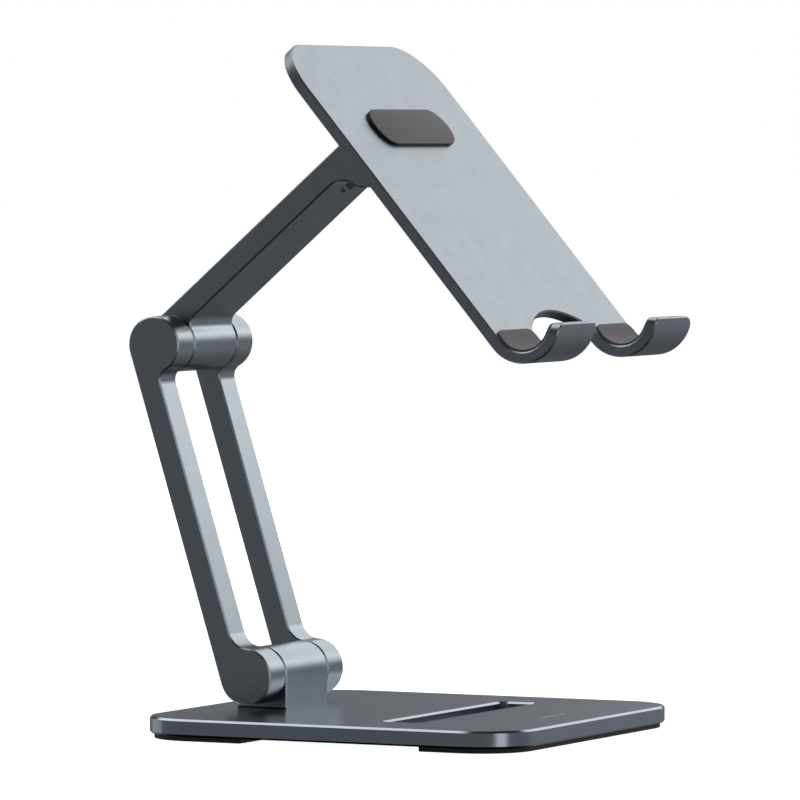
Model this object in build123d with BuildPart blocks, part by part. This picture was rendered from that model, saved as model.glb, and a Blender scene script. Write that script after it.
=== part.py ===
from build123d import *
from math import cos, radians, sin
import os

# Folding phone stand. +Z is up, the screen faces along -Y, and the origin lies on the table
# straight below the lower hinge, midway between the side bars. Millimetres and degrees.

# Base plate
base_width = 99.5
base_depth = 102.6
base_thickness = 4.2
base_corner = 14.5
base_edge = 0.5  # chamfer round the top and the bottom
base_rear = 16.1  # from the lower hinge back to the rear edge
slot_width = 66.2
slot_depth = 9.7
slot_corner = 2.0
slot_edge = 0.5
slot_setback = 44.3  # from the lower hinge forward to the slot's rear wall

# Silicone feet, let into the underside
foot_height = 1.2  # below the metal
foot_recess = 0.6
foot_inset = 1.1  # from the base's edge
rear_foot_front = 14.0  # from the lower hinge forward to the rear foot's inner end
front_foot_rear = 61.9  # from the lower hinge forward to the front foot's inner end

# Arms. Every knuckle has the same radius, and each bar lies flush with one side of it.
knuckle_radius = 7.0
arm_thickness = 6.0
centre_width = 22.0  # pedestal and upper arm
bar_width = 8.3
lower_arm_length = 85.0  # between hinge axes
lower_arm_lean = 17.4  # rearward from vertical
upper_arm_length = 70.5
upper_arm_rise = 40.5  # forward and up from horizontal
knuckle_lift = 1.2  # lower knuckles above the base
foot_fillet = 5.0  # where a bar runs into the lower knuckle, and the ears
elbow_fillet = 3.0
arm_edge = 0.35

# Friction hinges, lower and elbow alike
shaft_radius = 3.0
running_clearance = 0.05
sleeve_wall = 0.95
friction_washer_thickness = 0.4
friction_washer_inset = 1.2  # short of the knuckle's rim
thread_radius = 2.5
thread_depth = 6.3
head_radius = 5.0
head_thickness = 2.4
head_recess = 0.5  # below the bar's outer face
spring_washer_thickness = 0.6
spring_washer_count = 2
pocket_clearance = 0.15
socket_share = 0.52  # a socket's corners, as a share of its head's radius
socket_depth_share = 0.6

# Holder hinge
fork_width = 6.0
fork_root = 56.5  # from the elbow axis to the end of the fork's slot
pin_radius = 2.0
pin_thread_radius = 1.6
pin_thread_depth = 5.5
pin_head_radius = 3.7
pin_head_thickness = 1.8
pin_spring_thickness = 0.7
ear_washer_radius = 5.5
ear_gap = 0.4  # between the ears and the holder's back

# Holder plate, with its two hooks bent from the same sheet
plate_lean = 49.5  # up from horizontal
plate_width = 76.4
plate_thickness = 2.8
plate_top = 28.0  # from the holder hinge up to the top edge
plate_corner = 14.0
plate_edge = 0.35
hook_drop = 65.3  # from the holder hinge down to the bend's centre
hook_inner_radius = 7.2
hook_lip_angle = 48.0  # past the bottom of the bend
hook_gap = 34.6  # between the hooks
hook_outer_corner = 3.0
hook_inner_corner = 1.5
notch_top = 57.1  # from the holder hinge down to the top of the notch
notch_radius = 28.0
notch_corner = 3.5

# Silicone pads
plate_pad_width = 39.5
plate_pad_height = 11.0
plate_pad_thickness = 1.0
plate_pad_raise = 0.9  # up the plate from the holder hinge
pad_edge = 0.3
hook_pad_thickness = 0.55
hook_pad_start = 2.95  # above the bend's centre
hook_pad_margin = 0.6  # short of the hook's sides
hook_pad_end = 1.0  # degrees short of the lip
hook_pad_corner = 2.6

# Screws
tongue_screw_radius = 1.25
tongue_screw_head = 2.3
tongue_screw_reach = 4.6  # into the tongue
tongue_screw_cover = 0.2  # the plate pad reaches this far past the heads
pedestal_screw_radius = 2.0
pedestal_screw_head = 3.6
pedestal_screw_offset = 6.5  # either side of the middle
pedestal_wall = 0.8  # left between a screw's hole and the sleeve
screw_socket_depth = 1.2
hole_end = 0.3  # a blind hole goes this much past its screw

os.makedirs("parts", exist_ok=True)

# ---- Worked out from the sizes above ----
base_bottom = foot_height
base_top = base_bottom + base_thickness
base_front = base_rear - base_depth
base_middle = (base_rear + base_front) / 2
half_centre = centre_width / 2
bar_inner = half_centre + friction_washer_thickness
bar_outer = bar_inner + bar_width
arm_inner_side = knuckle_radius - arm_thickness  # the bar's inner side, measured past the axis
sleeve_bore = shaft_radius + running_clearance
sleeve_outer = sleeve_bore + sleeve_wall
spring_stack = spring_washer_thickness * spring_washer_count
pocket_depth = head_recess + head_thickness + spring_stack
pocket_radius = head_radius + pocket_clearance
plate_back = knuckle_radius + ear_gap  # from the holder hinge axis
plate_front = plate_back + plate_thickness
hook_outer_radius = hook_inner_radius + plate_thickness
hook_centre = plate_front + hook_inner_radius
half_plate = plate_width / 2
half_gap = hook_gap / 2
half_fork = fork_width / 2
ear_outer = half_centre
tongue_width = fork_width - 2 * friction_washer_thickness
tongue_screw_offset = plate_pad_height / 2 - tongue_screw_cover - tongue_screw_head
tongue_screw_places = [
    (0, plate_pad_raise - tongue_screw_offset),
    (0, plate_pad_raise + tongue_screw_offset),
]
pin_pocket_depth = head_recess + pin_head_thickness + pin_spring_thickness
pedestal_screw_reach = knuckle_lift + knuckle_radius - sleeve_outer - pedestal_wall - hole_end
foot_width = base_width - 2 * foot_inset
foot_depth = base_depth - 2 * foot_inset
foot_corner = base_corner - foot_inset

lower_axis = Vector(0, 0, base_top + knuckle_lift + knuckle_radius)
lower_direction = Vector(0, sin(radians(lower_arm_lean)), cos(radians(lower_arm_lean)))
elbow_axis = lower_axis + lower_direction * lower_arm_length
upper_direction = Vector(0, -cos(radians(upper_arm_rise)), sin(radians(upper_arm_rise)))
holder_axis = elbow_axis + upper_direction * upper_arm_length
plate_normal = Vector(0, -sin(radians(plate_lean)), cos(radians(plate_lean)))
across = Vector(1, 0, 0)


def side_plane(point, direction, x):
    # Sketch plane facing +X at the given x: its own x runs along the arm and its y to the
    # inside of the elbow, or down the holder plate.
    return Plane(origin=(x, point.Y, point.Z), x_dir=direction, z_dir=across)


upper_normal = Vector(0, sin(radians(upper_arm_rise)), cos(radians(upper_arm_rise)))
arm_plane = Plane(origin=elbow_axis, x_dir=upper_direction, z_dir=upper_normal)
face_origin = holder_axis + plate_normal * plate_front
face_plane = Plane(origin=face_origin, x_dir=across, z_dir=plate_normal)  # its y runs up the plate


def ring(point, start, length, outer, inner):
    # A ring round a hinge axis, from x = start towards +X.
    with BuildPart() as solid:
        with BuildSketch(side_plane(point, lower_direction, start)):
            Circle(outer)
            Circle(inner, mode=Mode.SUBTRACT)
        extrude(amount=length)
    return solid.part


def arm_outline(length, near_fillet, far_fillet):
    # Two knuckles joined by a bar that is flush with one side of them.
    middle = arm_thickness / 2 - knuckle_radius
    with BuildSketch() as outline:
        with Locations(Rot(0, 0, 180)):
            Circle(knuckle_radius)
        with Locations((length, 0)):
            Circle(knuckle_radius)
        with Locations((length / 2, middle)):
            Rectangle(length, arm_thickness)
        inner = middle + arm_thickness / 2
        notches = outline.vertices().filter_by(lambda v: abs(v.Y - inner) < 0.01)
        fillet(notches.sort_by(Axis.X)[0], near_fillet)
        notches = outline.vertices().filter_by(lambda v: abs(v.Y - inner) < 0.01)
        fillet(notches.sort_by(Axis.X)[-1], far_fillet)
    return outline.sketch


def shoulder_screw(point, shoulder, shank, shank_length, thread, thread_length, head, head_length):
    # Screw along X: its thread runs to -X from the shoulder, and its socket opens to +X.
    with BuildPart() as screw:
        with BuildSketch(side_plane(point, lower_direction, shoulder)):
            Circle(shank)
        extrude(amount=shank_length)
        with BuildSketch(side_plane(point, lower_direction, shoulder)):
            Circle(thread)
        extrude(amount=-thread_length)
        with BuildSketch(side_plane(point, lower_direction, shoulder + shank_length)):
            Circle(head)
        extrude(amount=head_length)
        chamfer(screw.faces().sort_by(Axis.X)[-1].edges(), head_length / 8)
        with BuildSketch(side_plane(point, lower_direction, shoulder + shank_length + head_length)):
            RegularPolygon(head * socket_share, 6)
        extrude(amount=-head_length * socket_depth_share, mode=Mode.SUBTRACT)
    return screw.part


def flat_screw(radius, head, length):
    # Countersunk screw that points to -Z, with its head's face at the origin.
    with BuildPart() as screw:
        Cylinder(radius, length, align=(Align.CENTER, Align.CENTER, Align.MAX))
        Cone(radius, head, head - radius, align=(Align.CENTER, Align.CENTER, Align.MAX))
        with BuildSketch():
            RegularPolygon(radius * 0.75, 6)
        extrude(amount=-screw_socket_depth, mode=Mode.SUBTRACT)
    return screw.part


def is_sheet(face):
    # The holder's front and back, flat or bent, but not the cut edges round them.
    if face.geom_type == GeomType.CYLINDER:
        return abs(face.axis_of_rotation.direction.X) > 0.99
    return abs(face.normal_at().dot(plate_normal)) > 0.9999


def foot(front, rear):
    # A sheet under the base between two lines across it.
    with BuildPart() as sheet:
        with BuildSketch():
            with Locations((0, base_middle)):
                RectangleRounded(foot_width, foot_depth, foot_corner)
            with Locations((0, (front + rear) / 2)):
                Rectangle(base_width, rear - front, mode=Mode.INTERSECT)
        extrude(amount=foot_height + foot_recess)
    return sheet.part


# ---- Base plate: rounded sheet with a cable slot and shallow beds for the feet ----
with BuildPart() as base_plate:
    with BuildSketch(Plane.XY.offset(base_bottom)):
        with Locations((0, base_middle)):
            RectangleRounded(base_width, base_depth, base_corner)
    extrude(amount=base_thickness)
    chamfer(base_plate.faces().sort_by(Axis.Z)[-1].edges(), base_edge)
    chamfer(base_plate.faces().sort_by(Axis.Z)[0].edges(), base_edge)
    with BuildSketch(Plane.XY.offset(base_bottom)):
        with Locations((0, -slot_setback - slot_depth / 2)):
            RectangleRounded(slot_width, slot_depth, slot_corner)
    extrude(amount=base_thickness, mode=Mode.SUBTRACT)
    chamfer(base_plate.faces().sort_by(Axis.Z)[-1].inner_wires()[0].edges(), slot_edge)
    chamfer(base_plate.faces().sort_by(Axis.Z)[0].inner_wires()[0].edges(), slot_edge)
    with BuildSketch(Plane.XY.offset(base_bottom)):
        with Locations((0, base_middle)):
            RectangleRounded(foot_width, foot_depth, foot_corner)
        with Locations((0, -(rear_foot_front + front_foot_rear) / 2)):
            Rectangle(base_width, front_foot_rear - rear_foot_front, mode=Mode.SUBTRACT)
    extrude(amount=foot_recess, mode=Mode.SUBTRACT)
    screw_seat = Plane.XY.offset(base_bottom + foot_recess).rotated((180, 0, 0))
    with Locations(screw_seat):
        with Locations((-pedestal_screw_offset, 0), (pedestal_screw_offset, 0)):
            CounterSinkHole(pedestal_screw_radius, pedestal_screw_head, base_thickness, 90)
base_plate.part.label = "base_plate"
export_step(base_plate.part, "parts/base_plate.step")

# ---- Feet ----
rear_foot = foot(-rear_foot_front, base_rear)
rear_foot.label = "rear_foot"
export_step(rear_foot, "parts/rear_foot.step")

front_foot = foot(base_front, -front_foot_rear)
front_foot.label = "front_foot"
export_step(front_foot, "parts/front_foot.step")

# ---- Pedestal: block with a round top that stands on the base ----
with BuildPart() as pedestal:
    with BuildSketch(Plane.YZ.offset(-half_centre)):
        with Locations((0, lower_axis.Z)):
            Circle(knuckle_radius)
        with Locations((0, (base_top + lower_axis.Z) / 2)):
            Rectangle(2 * knuckle_radius, lower_axis.Z - base_top)
    extrude(amount=centre_width)
    chamfer(pedestal.faces().sort_by(Axis.X)[0].edges(), arm_edge)
    chamfer(pedestal.faces().sort_by(Axis.X)[-1].edges(), arm_edge)
    with BuildSketch(Plane.YZ.offset(-half_centre)):
        with Locations((0, lower_axis.Z)):
            Circle(sleeve_outer)
    extrude(amount=centre_width, mode=Mode.SUBTRACT)
    with BuildSketch(Plane.XY.offset(base_top)):
        with Locations((-pedestal_screw_offset, 0), (pedestal_screw_offset, 0)):
            Circle(pedestal_screw_radius)
    extrude(amount=pedestal_screw_reach + hole_end, mode=Mode.SUBTRACT)
pedestal.part.label = "pedestal"
export_step(pedestal.part, "parts/pedestal.step")

pedestal_screw_length = base_thickness - foot_recess + pedestal_screw_reach
pedestal_screw = flat_screw(pedestal_screw_radius, pedestal_screw_head, pedestal_screw_length)
with BuildPart() as pedestal_screws:
    with Locations(screw_seat):
        with Locations((-pedestal_screw_offset, 0), (pedestal_screw_offset, 0)):
            add(pedestal_screw)
pedestal_screws.part.label = "pedestal_screws"
export_step(pedestal_screws.part, "parts/pedestal_screws.step")

lower_hinge_sleeve = ring(lower_axis, -half_centre, centre_width, sleeve_outer, sleeve_bore)
lower_hinge_sleeve.label = "lower_hinge_sleeve"
export_step(lower_hinge_sleeve, "parts/lower_hinge_sleeve.step")

# ---- Side bars: the left one is tapped, the right one takes the screw heads ----
with BuildPart() as left_bar:
    with BuildSketch(side_plane(lower_axis, lower_direction, -bar_outer)):
        add(arm_outline(lower_arm_length, foot_fillet, elbow_fillet))
    extrude(amount=bar_width)
    chamfer(left_bar.faces().sort_by(Axis.X)[0].edges(), arm_edge)
    chamfer(left_bar.faces().sort_by(Axis.X)[-1].edges(), arm_edge)
    with BuildSketch(side_plane(lower_axis, lower_direction, -bar_inner)):
        with Locations((0, 0), (lower_arm_length, 0)):
            Circle(thread_radius)
    extrude(amount=-(thread_depth + hole_end), mode=Mode.SUBTRACT)
left_bar.part.label = "left_bar"
export_step(left_bar.part, "parts/left_bar.step")

with BuildPart() as right_bar:
    with BuildSketch(side_plane(lower_axis, lower_direction, bar_inner)):
        add(arm_outline(lower_arm_length, foot_fillet, elbow_fillet))
    extrude(amount=bar_width)
    chamfer(right_bar.faces().sort_by(Axis.X)[0].edges(), arm_edge)
    chamfer(right_bar.faces().sort_by(Axis.X)[-1].edges(), arm_edge)
    with BuildSketch(side_plane(lower_axis, lower_direction, bar_inner)):
        with Locations((0, 0), (lower_arm_length, 0)):
            Circle(sleeve_bore)
    extrude(amount=bar_width, mode=Mode.SUBTRACT)
    with BuildSketch(side_plane(lower_axis, lower_direction, bar_outer)):
        with Locations((0, 0), (lower_arm_length, 0)):
            Circle(pocket_radius)
    extrude(amount=-pocket_depth, mode=Mode.SUBTRACT)
right_bar.part.label = "right_bar"
export_step(right_bar.part, "parts/right_bar.step")

# ---- Screw, spring washers and friction washers of the lower hinge and of the elbow ----
shank_length = 2 * bar_inner + bar_width - pocket_depth + spring_stack
for hinge_name, axis in (("lower_hinge", lower_axis), ("elbow", elbow_axis)):
    hinge_screw = shoulder_screw(
        axis,
        -bar_inner,
        shaft_radius,
        shank_length,
        thread_radius,
        thread_depth,
        head_radius,
        head_thickness,
    )
    hinge_screw.label = f"{hinge_name}_screw"
    export_step(hinge_screw, f"parts/{hinge_name}_screw.step")

    spring_rings = []
    for n in range(spring_washer_count):
        start = bar_outer - pocket_depth + n * spring_washer_thickness
        spring_rings.append(
            ring(axis, start, spring_washer_thickness, head_radius, sleeve_bore)
        )
    spring_washers = Compound(children=spring_rings)
    spring_washers.label = f"{hinge_name}_spring_washers"
    export_step(spring_washers, f"parts/{hinge_name}_spring_washers.step")

    washer_radius = knuckle_radius - friction_washer_inset
    with BuildPart() as friction_washers:
        add(ring(axis, -bar_inner, friction_washer_thickness, washer_radius, sleeve_bore))
        add(ring(axis, half_centre, friction_washer_thickness, washer_radius, sleeve_bore))
    friction_washers.part.label = f"{hinge_name}_friction_washers"
    export_step(friction_washers.part, f"parts/{hinge_name}_friction_washers.step")

# ---- Upper arm: barrel at the elbow, fork at the holder ----
with BuildPart() as upper_arm:
    with BuildSketch(side_plane(elbow_axis, upper_direction, -half_centre)):
        add(arm_outline(upper_arm_length, elbow_fillet, foot_fillet))
    extrude(amount=centre_width)
    chamfer(upper_arm.faces().sort_by(Axis.X)[0].edges(), arm_edge)
    chamfer(upper_arm.faces().sort_by(Axis.X)[-1].edges(), arm_edge)
    with BuildSketch(side_plane(elbow_axis, upper_direction, -half_centre)):
        Circle(sleeve_outer)
    extrude(amount=centre_width, mode=Mode.SUBTRACT)
    with BuildSketch(arm_plane.offset(-2 * knuckle_radius)):
        with Locations((fork_root + half_fork, 0)):
            Circle(half_fork)
        with Locations((fork_root + half_fork, 0)):
            Rectangle(2 * upper_arm_length, fork_width, align=(Align.MIN, Align.CENTER))
    extrude(amount=4 * knuckle_radius, mode=Mode.SUBTRACT)
    with BuildSketch(side_plane(holder_axis, upper_direction, half_fork)):
        Circle(pin_radius + running_clearance)
    extrude(amount=ear_outer - half_fork, mode=Mode.SUBTRACT)
    with BuildSketch(side_plane(holder_axis, upper_direction, ear_outer)):
        Circle(pin_head_radius + pocket_clearance)
    extrude(amount=-pin_pocket_depth, mode=Mode.SUBTRACT)
    with BuildSketch(side_plane(holder_axis, upper_direction, -half_fork)):
        Circle(pin_thread_radius)
    extrude(amount=-(pin_thread_depth + hole_end), mode=Mode.SUBTRACT)
upper_arm.part.label = "upper_arm"
export_step(upper_arm.part, "parts/upper_arm.step")

elbow_sleeve = ring(elbow_axis, -half_centre, centre_width, sleeve_outer, sleeve_bore)
elbow_sleeve.label = "elbow_sleeve"
export_step(elbow_sleeve, "parts/elbow_sleeve.step")

# ---- Holder hinge ----
holder_pin = shoulder_screw(
    holder_axis,
    -half_fork,
    pin_radius,
    half_fork + ear_outer - pin_pocket_depth + pin_spring_thickness,
    pin_thread_radius,
    pin_thread_depth,
    pin_head_radius,
    pin_head_thickness,
)
holder_pin.label = "holder_pin"
export_step(holder_pin, "parts/holder_pin.step")

pin_bore = pin_radius + running_clearance
holder_spring_washer = ring(
    holder_axis, ear_outer - pin_pocket_depth, pin_spring_thickness, pin_head_radius, pin_bore
)
holder_spring_washer.label = "holder_spring_washer"
export_step(holder_spring_washer, "parts/holder_spring_washer.step")

with BuildPart() as holder_friction_washers:
    for start in (-half_fork, half_fork - friction_washer_thickness):
        add(ring(holder_axis, start, friction_washer_thickness, ear_washer_radius, pin_bore))
holder_friction_washers.part.label = "holder_friction_washers"
export_step(holder_friction_washers.part, "parts/holder_friction_washers.step")

# ---- Holder: tongue, and the plate with two hooks bent forward at its foot ----
with BuildPart() as hinge_tongue:
    with BuildSketch(side_plane(holder_axis, plate_normal, -tongue_width / 2)):
        Circle(knuckle_radius)
        Rectangle(plate_back, 2 * knuckle_radius, align=(Align.MIN, Align.CENTER))
        Circle(pin_bore, mode=Mode.SUBTRACT)
    extrude(amount=tongue_width)
    with BuildSketch(face_plane.offset(-plate_thickness)):
        with Locations(*tongue_screw_places):
            Circle(tongue_screw_radius)
    extrude(amount=-(tongue_screw_reach + hole_end), mode=Mode.SUBTRACT)
hinge_tongue.part.label = "hinge_tongue"
export_step(hinge_tongue.part, "parts/hinge_tongue.step")

lip_start = 90 - hook_lip_angle
with BuildPart() as holder_plate:
    with BuildSketch(side_plane(holder_axis, plate_normal, -half_plate)):
        with BuildLine():
            inner_bend = CenterArc((hook_centre, hook_drop), hook_inner_radius, lip_start, 180 - lip_start)
            outer_bend = CenterArc((hook_centre, hook_drop), hook_outer_radius, lip_start, 180 - lip_start)
            Line(inner_bend @ 0, outer_bend @ 0)
            Polyline(
                inner_bend @ 1,
                (plate_front, -plate_top),
                (plate_back, -plate_top),
                outer_bend @ 1,
            )
        make_face()
    extrude(amount=plate_width)
    top_corners = holder_plate.edges().filter_by(Axis((0, 0, 0), plate_normal)).sort_by(Axis.Z)
    fillet(top_corners[-2:], plate_corner)
    with BuildSketch(face_plane.offset(-2 * plate_thickness)) as notch:
        with BuildLine():
            notch_arc = ThreePointArc(
                (-half_gap, -notch_top - notch_radius + (notch_radius**2 - half_gap**2) ** 0.5),
                (0, -notch_top),
                (half_gap, -notch_top - notch_radius + (notch_radius**2 - half_gap**2) ** 0.5),
            )
            Polyline(
                notch_arc @ 1,
                (half_gap, -hook_drop - 2 * hook_outer_radius),
                (-half_gap, -hook_drop - 2 * hook_outer_radius),
                notch_arc @ 0,
            )
        make_face()
        fillet(notch.vertices().sort_by(Axis.Y)[-2:], notch_corner)
    extrude(amount=2 * plate_thickness + 3 * hook_outer_radius, mode=Mode.SUBTRACT)
    lip_direction = plate_normal.rotate(Axis.X, lip_start)
    lip_edges = holder_plate.edges().filter_by(Axis((0, 0, 0), lip_direction)).sort_by(Axis.X)
    fillet([lip_edges[0], lip_edges[-1]], hook_outer_corner)
    lip_edges = holder_plate.edges().filter_by(Axis((0, 0, 0), lip_direction)).sort_by(Axis.X)
    fillet(
        [e for e in lip_edges if abs(abs(e.center().X) - half_gap) < 0.01], hook_inner_corner
    )
    outline = [e for f in holder_plate.faces() if is_sheet(f) for e in f.edges()]
    chamfer([e for e in outline if sum(e.is_same(o) for o in outline) == 1], plate_edge)
    with Locations(face_plane):
        with Locations(*tongue_screw_places):
            CounterSinkHole(tongue_screw_radius, tongue_screw_head, plate_thickness, 90)
holder_plate.part.label = "holder_plate"
export_step(holder_plate.part, "parts/holder_plate.step")

tongue_screw_length = plate_thickness + tongue_screw_reach
tongue_screw = flat_screw(tongue_screw_radius, tongue_screw_head, tongue_screw_length)
with BuildPart() as tongue_screws:
    with Locations(face_plane):
        with Locations(*tongue_screw_places):
            add(tongue_screw)
tongue_screws.part.label = "tongue_screws"
export_step(tongue_screws.part, "parts/tongue_screws.step")

# ---- Silicone pads: one on the plate, one lining each hook ----
with BuildPart() as plate_pad:
    with BuildSketch(face_plane):
        with Locations((0, plate_pad_raise)):
            SlotOverall(plate_pad_width, plate_pad_height)
    extrude(amount=plate_pad_thickness)
    chamfer(plate_pad.faces().sort_by(Axis(face_origin, plate_normal))[-1].edges(), pad_edge)
plate_pad.part.label = "plate_pad"
export_step(plate_pad.part, "parts/plate_pad.step")

pad_width = half_plate - half_gap - 2 * hook_pad_margin
pad_lip = lip_start + hook_pad_end
pad_lip_direction = plate_normal.rotate(Axis.X, pad_lip)
for side, start in (("left", -half_plate + hook_pad_margin), ("right", half_gap + hook_pad_margin)):
    with BuildPart() as hook_pad:
        with BuildSketch(side_plane(holder_axis, plate_normal, start)):
            with BuildLine():
                against = CenterArc((hook_centre, hook_drop), hook_inner_radius, pad_lip, 180 - pad_lip)
                touched = CenterArc(
                    (hook_centre, hook_drop),
                    hook_inner_radius - hook_pad_thickness,
                    pad_lip,
                    180 - pad_lip,
                )
                Line(against @ 0, touched @ 0)
                Polyline(
                    touched @ 1,
                    (plate_front + hook_pad_thickness, hook_drop - hook_pad_start),
                    (plate_front, hook_drop - hook_pad_start),
                    against @ 1,
                )
            make_face()
        extrude(amount=pad_width)
        pad_corners = hook_pad.edges().filter_by(Axis((0, 0, 0), plate_normal)).sort_by(Axis.Z)
        fillet(pad_corners[-2:], hook_pad_corner)
        lip_corners = hook_pad.edges().filter_by(Axis((0, 0, 0), pad_lip_direction))
        fillet(lip_corners, hook_pad_corner)
    hook_pad.part.label = f"{side}_hook_pad"
    export_step(hook_pad.part, f"parts/{side}_hook_pad.step")
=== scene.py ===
from math import cos, pi, radians, sin, tan

import bmesh
import bpy
from mathutils import Matrix, Vector


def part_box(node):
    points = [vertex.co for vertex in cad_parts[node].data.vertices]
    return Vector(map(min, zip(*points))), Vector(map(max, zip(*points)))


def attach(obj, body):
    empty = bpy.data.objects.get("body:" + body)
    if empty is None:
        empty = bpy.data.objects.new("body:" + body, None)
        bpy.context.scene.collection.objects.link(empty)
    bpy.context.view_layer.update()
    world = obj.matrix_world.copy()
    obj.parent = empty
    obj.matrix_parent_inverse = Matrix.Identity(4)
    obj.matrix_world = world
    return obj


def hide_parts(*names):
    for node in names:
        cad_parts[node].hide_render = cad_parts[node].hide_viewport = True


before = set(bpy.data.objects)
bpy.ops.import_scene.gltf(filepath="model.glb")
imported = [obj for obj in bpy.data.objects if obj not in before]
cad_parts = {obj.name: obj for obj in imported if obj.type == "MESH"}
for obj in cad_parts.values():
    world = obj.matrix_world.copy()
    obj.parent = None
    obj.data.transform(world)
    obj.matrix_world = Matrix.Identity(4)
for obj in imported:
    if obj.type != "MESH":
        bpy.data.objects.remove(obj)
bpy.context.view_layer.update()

# Folding phone stand: blasted and anodised aluminium, silicone pads and feet, steel screws.
# Metres. +Z is up, the screen faces along -Y, and the origin lies under the lower hinge.

MM = 0.001
plate_lean = radians(49.5)  # the holder plate, up from horizontal
pad_thickness = 1.0 * MM
pad_width = 39.5 * MM
pad_height = 11.0 * MM
pad_rounding = 0.2 * MM

low, high = (Vector(corner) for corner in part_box("plate_pad"))
plate_face = Vector(
    (0, high.y - cos(plate_lean) * pad_height / 2, low.z + sin(plate_lean) * pad_height / 2)
)
on_plate = Matrix.Translation(plate_face) @ Matrix.Rotation(plate_lean, 4, "X")


# ---- Node helpers ----

def add_node(tree, kind, **values):
    """A node with its inputs set by name; a link is made where the value is another node's socket."""
    node = tree.nodes.new(kind)
    for name, value in values.items():
        fill_socket(tree, node.inputs[name.replace("_", " ")], value)
    return node


def fill_socket(tree, socket, value):
    if isinstance(value, bpy.types.NodeSocket):
        tree.links.new(value, socket)
    else:
        socket.default_value = value


def calculate(tree, operation, *values):
    node = tree.nodes.new("ShaderNodeMath")
    node.operation = operation
    for socket, value in zip(node.inputs, values):
        fill_socket(tree, socket, value)
    return node.outputs[0]


def noise(tree, place, scale, detail, roughness=0.5):
    node = add_node(tree, "ShaderNodeTexNoise", Vector=place, Scale=scale, Detail=detail)
    node.inputs["Roughness"].default_value = roughness
    return node.outputs["Fac"]


def spread(tree, value, start, end):
    """Maps a pattern's middle range onto start to end."""
    node = add_node(tree, "ShaderNodeMapRange", Value=value)
    node.inputs["From Min"].default_value = 0.3
    node.inputs["From Max"].default_value = 0.7
    node.inputs["To Min"].default_value = start
    node.inputs["To Max"].default_value = end
    return node.outputs["Result"]


def tint(tree, factor, dark, light):
    node = tree.nodes.new("ShaderNodeMix")
    node.data_type = "RGBA"
    fill_socket(tree, node.inputs[0], factor)
    node.inputs[6].default_value = (*dark, 1)
    node.inputs[7].default_value = (*light, 1)
    return node.outputs[2]


def relief(tree, height, distance, strength, below=None):
    node = add_node(tree, "ShaderNodeBump", Height=height, Distance=distance, Strength=strength)
    if below:
        tree.links.new(below, node.inputs["Normal"])
    return node.outputs["Normal"]


def start_material(name):
    """An empty material with a Principled shader, and the object's own coordinates."""
    material = bpy.data.materials.new(name)
    material.use_nodes = True
    tree = material.node_tree
    shader = tree.nodes["Principled BSDF"]
    place = tree.nodes.new("ShaderNodeTexCoord").outputs["Object"]
    return material, tree, shader, place


# ---- Finishes ----

def anodised(name, dark, light, smooth, rough):
    """Fine bead-blasted aluminium under a dyed oxide skin."""
    material, tree, shader, place = start_material(name)
    shader.inputs["Metallic"].default_value = 1
    clouds = noise(tree, place, 55, 4, 0.6)
    fill_socket(tree, shader.inputs["Base Color"], tint(tree, clouds, dark, light))
    handling = noise(tree, place, 210, 3)
    fill_socket(tree, shader.inputs["Roughness"], spread(tree, handling, smooth, rough))
    blast = noise(tree, place, 7000, 2)
    fill_socket(tree, shader.inputs["Normal"], relief(tree, blast, 0.00001, 0.25))
    return material


def silicone(name, dark, light, rough):
    """Matt moulded rubber with a spark-eroded skin."""
    material, tree, shader, place = start_material(name)
    shader.inputs["Specular IOR Level"].default_value = 0.35
    shader.inputs["Sheen Weight"].default_value = 0.25
    shader.inputs["Sheen Roughness"].default_value = 0.5
    mottle = noise(tree, place, 240, 4, 0.6)
    fill_socket(tree, shader.inputs["Base Color"], tint(tree, mottle, dark, light))
    fill_socket(tree, shader.inputs["Roughness"], spread(tree, mottle, rough - 0.05, rough + 0.05))
    skin = noise(tree, place, 4200, 3, 0.6)
    fill_socket(tree, shader.inputs["Normal"], relief(tree, skin, 0.00003, 0.35))
    return material


def turned_steel(name):
    """Machined screw steel with fine rings round the X axis."""
    material, tree, shader, place = start_material(name)
    shader.inputs["Metallic"].default_value = 1
    stretched = add_node(tree, "ShaderNodeMapping", Vector=place)
    stretched.inputs["Scale"].default_value = (1, 0.04, 0.04)
    rings = noise(tree, stretched.outputs[0], 9000, 3)
    steel = tint(tree, rings, (0.20, 0.21, 0.22), (0.30, 0.31, 0.33))
    fill_socket(tree, shader.inputs["Base Color"], steel)
    fill_socket(tree, shader.inputs["Roughness"], spread(tree, rings, 0.24, 0.36))
    fill_socket(tree, shader.inputs["Normal"], relief(tree, rings, 0.00001, 0.3))
    return material


def washer_plastic(name):
    material, tree, shader, place = start_material(name)
    grain = noise(tree, place, 1500, 3)
    nylon = tint(tree, grain, (0.010, 0.010, 0.011), (0.018, 0.018, 0.020))
    fill_socket(tree, shader.inputs["Base Color"], nylon)
    fill_socket(tree, shader.inputs["Roughness"], spread(tree, grain, 0.5, 0.6))
    return material


def sintered_bronze(name):
    """Oil-filled bearing bronze, open-grained."""
    material, tree, shader, place = start_material(name)
    shader.inputs["Metallic"].default_value = 1
    pores = noise(tree, place, 3500, 4, 0.7)
    bronze = tint(tree, pores, (0.22, 0.13, 0.06), (0.48, 0.31, 0.15))
    fill_socket(tree, shader.inputs["Base Color"], bronze)
    fill_socket(tree, shader.inputs["Roughness"], spread(tree, pores, 0.45, 0.35))
    fill_socket(tree, shader.inputs["Normal"], relief(tree, pores, 0.00003, 0.4))
    return material


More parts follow.
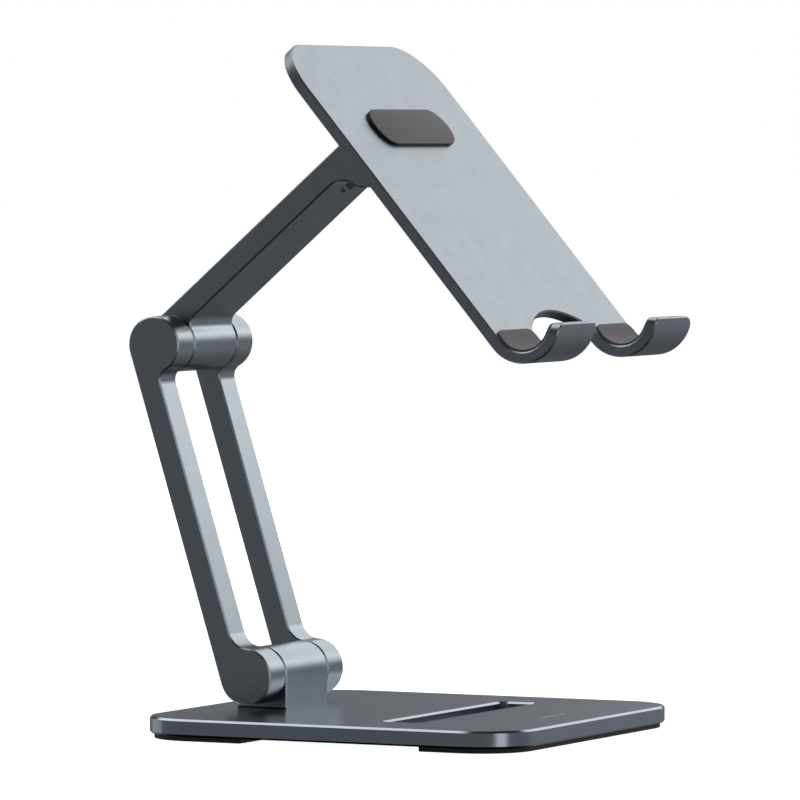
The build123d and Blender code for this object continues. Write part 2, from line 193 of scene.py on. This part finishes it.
base_metal = anodised("base_metal", (0.38, 0.425, 0.475), (0.395, 0.44, 0.49), 0.21, 0.23)
arm_metal = anodised("arm_metal", (0.36, 0.408, 0.437), (0.39, 0.438, 0.467), 0.30, 0.34)
holder_metal = anodised("holder_metal", (0.37, 0.415, 0.45), (0.40, 0.445, 0.48), 0.38, 0.42)
pad_silicone = silicone("pad_silicone", (0.195, 0.182, 0.196), (0.235, 0.220, 0.236), 0.62)
# The pad silicone again, made near-black for the pad's side wall: painted shade where the side turns away
# from the light.
pad_side_painted_shade = silicone("pad_side_painted_shade", (0.006, 0.006, 0.008), (0.010, 0.010, 0.013), 0.7)
foot_silicone = silicone("foot_silicone", (0.040, 0.042, 0.046), (0.052, 0.054, 0.058), 0.62)
screw_steel = turned_steel("screw_steel")
washer_nylon = washer_plastic("washer_nylon")
sleeve_bronze = sintered_bronze("sleeve_bronze")
etched_mark = anodised("etched_mark", (0.52, 0.56, 0.60), (0.58, 0.62, 0.66), 0.5, 0.6)

finishes = {
    "base_plate": base_metal,
    "pedestal": arm_metal,
    "left_bar": arm_metal,
    "right_bar": arm_metal,
    "upper_arm": arm_metal,
    "holder_plate": holder_metal,
    "hinge_tongue": holder_metal,
    "pedestal_screws": screw_steel,
    "lower_hinge_screw": screw_steel,
    "lower_hinge_spring_washers": screw_steel,
    "elbow_screw": screw_steel,
    "elbow_spring_washers": screw_steel,
    "holder_pin": screw_steel,
    "holder_spring_washer": screw_steel,
    "tongue_screws": screw_steel,
    "lower_hinge_friction_washers": washer_nylon,
    "elbow_friction_washers": washer_nylon,
    "holder_friction_washers": washer_nylon,
    "lower_hinge_sleeve": sleeve_bronze,
    "elbow_sleeve": sleeve_bronze,
}
for part_name, finish in finishes.items():
    for material_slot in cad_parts[part_name].material_slots:
        material_slot.material = finish


# ---- Rings, outlines and moulded sheets ----

def corner_arc(x, y, radius, start, steps=10):
    """Quarter turn, anticlockwise from the angle start."""
    turns = [start + i * pi / 2 / steps for i in range(steps + 1)]
    return [(x + radius * cos(t), y + radius * sin(t)) for t in turns]


def stadium(width, height):
    """Round-ended outline about the origin."""
    radius = height / 2
    x = width / 2 - radius
    right = corner_arc(x, 0, radius, -pi / 2) + corner_arc(x, 0, radius, 0)[1:]
    return right + [(-px, -py) for px, py in right]


def foot_outline(width, outer_y, inner_y, radius):
    """Two rounded corners at outer_y and two square ones at inner_y."""
    x = width / 2 - radius
    side = 1 if outer_y > inner_y else -1
    right = corner_arc(x, side * outer_y - radius, radius, 0)
    left = [(-px, py) for px, py in reversed(right)]
    ends = [(-width / 2, side * inner_y), (width / 2, side * inner_y)]
    return [(px, side * py) for px, py in right + left + ends]


def rounding(radius, steps=4):
    """(inset, drop) pairs from a sheet's side round to its face."""
    turns = [i * pi / 2 / steps for i in range(steps + 1)]
    return [(radius * (1 - cos(t)), radius * (1 - sin(t))) for t in turns]


def moulded_sheet(name, rings, place, finish, side_painted_shade=None):
    """A closed skin through rings of (outline, height), capped at both ends.
    The side, below the rounding, can take a darker copy of the finish as painted shade."""
    shape = bmesh.new()
    loops = [
        [shape.verts.new(place @ Vector((x, y, height))) for x, y in outline]
        for outline, height in rings
    ]
    for below, above in zip(loops, loops[1:]):
        for i in range(len(below)):
            j = (i + 1) % len(below)
            face = shape.faces.new((below[i], below[j], above[j], above[i]))
            # The side wall, between the first two rings, gets the painted-shade copy.
            face.material_index = 1 if side_painted_shade and below is loops[0] else 0
    shape.faces.new(reversed(loops[0]))
    shape.faces.new(loops[-1])
    bmesh.ops.recalc_face_normals(shape, faces=shape.faces)
    piece = piece_from(shape, name, finish)
    if side_painted_shade:
        piece.data.materials.append(side_painted_shade)
    return piece


def piece_from(shape, name, finish):
    mesh = bpy.data.meshes.new(name)
    shape.to_mesh(mesh)
    shape.free()
    mesh.shade_smooth()
    mesh.set_sharp_from_angle(angle=radians(40))
    mesh.materials.append(finish)
    piece = bpy.data.objects.new(name, mesh)
    bpy.context.collection.objects.link(piece)
    return piece


def settle(piece, body, slot, *nodes):
    """Puts a finished piece on its body in place of the plain parts it stands for."""
    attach(piece, body)
    if nodes:
        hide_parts(*nodes)


# ---- The plate pad and the two feet ----

pad_rings = [(stadium(pad_width, pad_height), 0)]
for inset, drop in rounding(pad_rounding):
    pad_rings.append((stadium(pad_width - 2 * inset, pad_height - 2 * inset), pad_thickness - drop))
# The pad's side wall takes the near-black copy of the silicone: painted shade.
plate_cushion = moulded_sheet("plate_cushion", pad_rings, on_plate, pad_silicone, pad_side_painted_shade)
settle(plate_cushion, "holder", "pad_silicone", "plate_pad")

foot_corner = 13.4 * MM
foot_edge = 0.25 * MM
for node, at_front in (("front_foot", True), ("rear_foot", False)):
    low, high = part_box(node)
    outer, inner, inwards = (low[1], high[1], 1) if at_front else (high[1], low[1], -1)
    width = high[0] - low[0]
    foot_rings = [(foot_outline(width, outer, inner, foot_corner), high[2])]
    for inset, rise in rounding(foot_edge):
        outline = foot_outline(
            width - 2 * inset, outer + inwards * inset, inner - inwards * inset, foot_corner - inset
        )
        foot_rings.append((outline, rise))
    sole = moulded_sheet(f"{node}_sole", foot_rings, Matrix.Identity(4), foot_silicone)
    settle(sole, "base", "foot_silicone", node)


# ---- Hook linings: two sheets that follow the bend of the hooks ----

def lining_tree():
    """Grows a flat sheet with rounded corners, gives it its thickness, and bends it round."""
    tree = bpy.data.node_groups.new("hook_lining", "GeometryNodeTree")
    sizes = {
        "Width": 19.7 * MM,
        "Flat Length": 2.95 * MM,
        "Bend Radius": 7.2 * MM,
        "Bend Angle": radians(137),
        "Thickness": 0.55 * MM,
        "Corner Radius": 2.6 * MM,
        "Spacing": 55.5 * MM,
        "Drop": 63.25 * MM,
        "Lean": plate_lean,
    }
    for name, size in sizes.items():
        socket = tree.interface.new_socket(name, in_out="INPUT", socket_type="NodeSocketFloat")
        socket.default_value = size
    tree.interface.new_socket("Place", in_out="INPUT", socket_type="NodeSocketVector")
    tree.interface.new_socket("Finish", in_out="INPUT", socket_type="NodeSocketMaterial")
    tree.interface.new_socket("Geometry", in_out="OUTPUT", socket_type="NodeSocketGeometry")
    size = tree.nodes.new("NodeGroupInput").outputs

    arc = calculate(tree, "MULTIPLY", size["Bend Radius"], size["Bend Angle"])
    length = calculate(tree, "ADD", size["Flat Length"], arc)
    grid = add_node(
        tree, "GeometryNodeMeshGrid", Size_X=size["Width"], Size_Y=length, Vertices_X=29, Vertices_Y=64
    )

    # Rounded corners at both ends
    spot = tree.nodes.new("ShaderNodeSeparateXYZ")
    tree.links.new(tree.nodes.new("GeometryNodeInputPosition").outputs[0], spot.inputs[0])
    along = calculate(tree, "SUBTRACT", calculate(tree, "MULTIPLY", length, 0.5), spot.outputs["Y"])
    to_end = calculate(tree, "MINIMUM", along, calculate(tree, "SUBTRACT", length, along))
    short = calculate(tree, "MAXIMUM", calculate(tree, "SUBTRACT", size["Corner Radius"], to_end), 0.0)
    kept = calculate(
        tree,
        "SQRT",
        calculate(
            tree,
            "SUBTRACT",
            calculate(tree, "POWER", size["Corner Radius"], 2.0),
            calculate(tree, "POWER", short, 2.0),
        ),
    )
    lost = calculate(tree, "SUBTRACT", size["Corner Radius"], kept)
    lost_share = calculate(tree, "DIVIDE", calculate(tree, "MULTIPLY", lost, 2.0), size["Width"])
    share = calculate(tree, "SUBTRACT", 1.0, lost_share)
    narrowed = add_node(
        tree, "ShaderNodeCombineXYZ", X=calculate(tree, "MULTIPLY", spot.outputs["X"], share), Y=along
    )
    flat = add_node(
        tree, "GeometryNodeSetPosition", Geometry=grid.outputs["Mesh"], Position=narrowed.outputs[0]
    )

    # Thickness, with the flat sheet as its underside
    raised = add_node(
        tree, "GeometryNodeExtrudeMesh", Mesh=flat.outputs[0], Offset_Scale=size["Thickness"]
    )
    raised.inputs["Individual"].default_value = False
    under = add_node(tree, "GeometryNodeFlipFaces", Mesh=flat.outputs[0])
    joined = tree.nodes.new("GeometryNodeJoinGeometry")
    tree.links.new(raised.outputs["Mesh"], joined.inputs[0])
    tree.links.new(under.outputs[0], joined.inputs[0])
    sealed = add_node(tree, "GeometryNodeMergeByDistance", Geometry=joined.outputs[0], Distance=0.000001)

    # The bend: straight down the plate first, then round the hook
    point = tree.nodes.new("ShaderNodeSeparateXYZ")
    tree.links.new(tree.nodes.new("GeometryNodeInputPosition").outputs[0], point.inputs[0])
    run = calculate(tree, "MINIMUM", point.outputs["Y"], size["Flat Length"])
    past = calculate(
        tree, "MAXIMUM", calculate(tree, "SUBTRACT", point.outputs["Y"], size["Flat Length"]), 0.0
    )
    turn = calculate(tree, "DIVIDE", past, size["Bend Radius"])
    height = calculate(tree, "ABSOLUTE", point.outputs["Z"])
    reach = calculate(tree, "SUBTRACT", size["Bend Radius"], height)
    sunk = calculate(tree, "MULTIPLY", reach, calculate(tree, "SINE", turn))
    down = calculate(tree, "ADD", calculate(tree, "ADD", size["Drop"], run), sunk)
    drawn_in = calculate(tree, "MULTIPLY", reach, calculate(tree, "COSINE", turn))
    out = calculate(tree, "SUBTRACT", size["Bend Radius"], drawn_in)
    bent = add_node(
        tree,
        "ShaderNodeCombineXYZ",
        X=point.outputs["X"],
        Y=calculate(tree, "MULTIPLY", down, -1.0),
        Z=out,
    )
    lining = add_node(
        tree, "GeometryNodeSetPosition", Geometry=sealed.outputs[0], Position=bent.outputs[0]
    )

    # One for each hook
    half = calculate(tree, "MULTIPLY", size["Spacing"], 0.5)
    left_spot = add_node(tree, "ShaderNodeCombineXYZ", X=calculate(tree, "MULTIPLY", half, -1.0))
    step = add_node(tree, "ShaderNodeCombineXYZ", X=size["Spacing"])
    hooks = add_node(
        tree, "GeometryNodeMeshLine", Count=2, Start_Location=left_spot.outputs[0], Offset=step.outputs[0]
    )
    pair = add_node(
        tree, "GeometryNodeInstanceOnPoints", Points=hooks.outputs[0], Instance=lining.outputs[0]
    )
    tilt = add_node(tree, "ShaderNodeCombineXYZ", X=size["Lean"])
    placed = add_node(
        tree,
        "GeometryNodeTransform",
        Geometry=pair.outputs[0],
        Translation=size["Place"],
        Rotation=tilt.outputs[0],
    )
    real = add_node(tree, "GeometryNodeRealizeInstances", Geometry=placed.outputs[0])
    coated = add_node(tree, "GeometryNodeSetMaterial", Geometry=real.outputs[0], Material=size["Finish"])
    result = tree.nodes.new("NodeGroupOutput")
    tree.links.new(coated.outputs[0], result.inputs[0])
    return tree


def hook_linings():
    tree = lining_tree()
    sockets = {item.name: item.identifier for item in tree.interface.items_tree if item.in_out == "INPUT"}
    grower = bpy.data.objects.new("lining_grower", bpy.data.meshes.new("lining_grower"))
    bpy.context.collection.objects.link(grower)
    nodes = grower.modifiers.new("Lining", "NODES")
    nodes.node_group = tree
    nodes[sockets["Place"]] = tuple(plate_face)
    nodes[sockets["Finish"]] = pad_silicone
    edge = grower.modifiers.new("Edge", "BEVEL")
    edge.limit_method = "ANGLE"
    edge.angle_limit = radians(60)
    edge.width = 0.12 * MM
    edge.segments = 3
    mesh = bpy.data.meshes.new_from_object(grower.evaluated_get(bpy.context.evaluated_depsgraph_get()))
    mesh.name = "hook_linings"
    mesh.shade_smooth()
    mesh.set_sharp_from_angle(angle=radians(40))
    bpy.data.objects.remove(grower)
    piece = bpy.data.objects.new("hook_linings", mesh)
    bpy.context.collection.objects.link(piece)
    return piece


settle(hook_linings(), "holder", "pad_silicone", "left_hook_pad", "right_hook_pad")


# ---- A plain etched dash on the base, near its front edge ----

dash_outline = stadium(13.4 * MM, 0.7 * MM)
dash_depth = 0.05 * MM
dash_rise = 0.004 * MM
dash_y = -74.3 * MM
dash_rings = [(dash_outline, -dash_depth), (dash_outline, dash_rise)]
base_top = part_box("base_plate")[1][2]
on_base = Matrix.Translation((0, dash_y, base_top))
dash = moulded_sheet("etched_dash", dash_rings, on_base, etched_mark)
settle(dash, "base", "base_metal")


# ---- Camera ----

camera = bpy.data.objects.new("camera", bpy.data.cameras.new("camera"))
bpy.context.collection.objects.link(camera)
camera_turn = radians(-63.401)
camera_rise = radians(2.196)
towards_camera = Vector(
    (sin(camera_turn) * cos(camera_rise), -cos(camera_turn) * cos(camera_rise), sin(camera_rise))
)
camera.location = (-1.5411, -0.8043, 0.1475)
camera.rotation_euler = (-towards_camera).to_track_quat("-Z", "Y").to_euler()
camera.data.sensor_width = 36
camera.data.lens = 316.74
camera.data.clip_end = 100
bpy.context.scene.camera = camera


# ---- Studio: softboxes, a dim room and a pale floor ----

middle = Vector((0, -0.03, 0.09))


def softbox(name, turn, rise, half_width, half_height, level):
    """A box that faces the stand from turn (degrees from +X towards +Y) and rise (above the horizon).
    It covers half_width and half_height degrees to each side, and its face has the radiance level."""
    distance = 2.0
    light = bpy.data.objects.new(name, bpy.data.lights.new(name, "AREA"))
    width = 2 * distance * tan(radians(half_width))
    height = 2 * distance * tan(radians(half_height))
    light.data.shape = "RECTANGLE"
    light.data.size = width
    light.data.size_y = height
    light.data.energy = level * pi * width * height
    towards = Vector(
        (
            cos(radians(turn)) * cos(radians(rise)),
            sin(radians(turn)) * cos(radians(rise)),
            sin(radians(rise)),
        )
    )
    light.location = middle + towards * distance
    light.rotation_euler = towards.to_track_quat("Z", "Y").to_euler()
    bpy.context.collection.objects.link(light)


softbox("key", -12, 30, 34, 16, 1.27)
softbox("low_key", -29, 13, 28, 6, 0.85)
softbox("fill", -30, -12, 24, 8, 0.08)
softbox("top", 72, 54, 22, 25, 1.6)
softbox("front_strip", 243.4, 12, 11, 26, 0.8)
softbox("rear", 85, 0, 18, 10, 0.35)


def room_light():
    """White to the camera. For lighting: dim near the horizon, dimmer on the left, black underneath."""
    world = bpy.data.worlds.new("room")
    world.use_nodes = True
    bpy.context.scene.world = world
    room = world.node_tree
    split = room.nodes.new("ShaderNodeSeparateXYZ")
    room.links.new(room.nodes.new("ShaderNodeTexCoord").outputs["Generated"], split.inputs[0])
    shade = room.nodes.new("ShaderNodeValToRGB")
    shade.color_ramp.interpolation = "EASE"
    shade.color_ramp.elements[0].position = 0.08
    shade.color_ramp.elements[0].color = (0, 0, 0, 1)
    shade.color_ramp.elements[1].position = 0.36
    shade.color_ramp.elements[1].color = (0.155, 0.158, 0.172, 1)
    for position, level in ((0.56, 0.15), (0.68, 0.03), (1.0, 0.03)):
        element = shade.color_ramp.elements.new(position)
        element.color = (level, level * 1.02, level * 1.10, 1)
    height = calculate(room, "MULTIPLY_ADD", split.outputs["Z"], 0.5, 0.5)
    fill_socket(room, shade.inputs[0], height)
    walls = room.nodes["Background"]
    fill_socket(room, walls.inputs["Color"], shade.outputs["Color"])
    side_light = calculate(room, "MULTIPLY_ADD", split.outputs["X"], 0.16, 1.16)
    fill_socket(room, walls.inputs["Strength"], side_light)
    backdrop = room.nodes.new("ShaderNodeBackground")
    backdrop.inputs["Color"].default_value = (1, 1, 1, 1)
    seen = room.nodes.new("ShaderNodeMixShader")
    room.links.new(room.nodes.new("ShaderNodeLightPath").outputs["Is Camera Ray"], seen.inputs[0])
    room.links.new(walls.outputs[0], seen.inputs[1])
    room.links.new(backdrop.outputs[0], seen.inputs[2])
    room.links.new(seen.outputs[0], room.nodes["World Output"].inputs[0])


def pale_floor():
    shape = bmesh.new()
    bmesh.ops.create_circle(shape, cap_ends=True, radius=12, segments=96)
    material, tree, shader, place = start_material("floor_paint")
    shader.inputs["Roughness"].default_value = 0.9
    shader.inputs["Emission Color"].default_value = (1, 1, 1, 1)
    shader.inputs["Emission Strength"].default_value = 0.965
    paint = noise(tree, place, 3, 2)
    pale = tint(tree, paint, (0.80, 0.80, 0.80), (0.82, 0.82, 0.82))
    fill_socket(tree, shader.inputs["Base Color"], pale)
    floor = piece_from(shape, "floor", material)
    floor.visible_glossy = False
    floor.visible_diffuse = False
    floor.visible_shadow = False


room_light()
pale_floor()
bpy.context.scene.view_settings.view_transform = "Standard"
